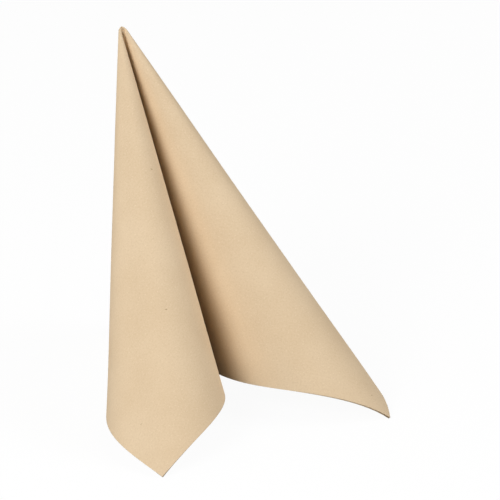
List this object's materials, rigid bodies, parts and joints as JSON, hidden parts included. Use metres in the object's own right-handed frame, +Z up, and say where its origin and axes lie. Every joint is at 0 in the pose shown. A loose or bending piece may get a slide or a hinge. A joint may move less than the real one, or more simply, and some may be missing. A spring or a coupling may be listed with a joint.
{
  "type": "paper napkin",
  "caption": "Square kraft paper napkin, folded double and stood up as a hollow two-lobed cone: table linen that marks a place setting and opens flat for wiping.",
  "frame": {"origin": "centre of the footprint's bounding box, on the surface that the napkin stands on", "axes": "+Z up, X across both lobes, the lobes and the open valley face -Y, the top folds are at +Y"},
  "size_m": [0.1682, 0.1856, 0.1986],
  "materials": {
    "paper": "unbleached tan paper, matt, with a very fine embossed grain and a few dark fibre flecks"
  },
  "bodies": {
    "root": {"napkin": "paper"}
  },
  "joints": []
}
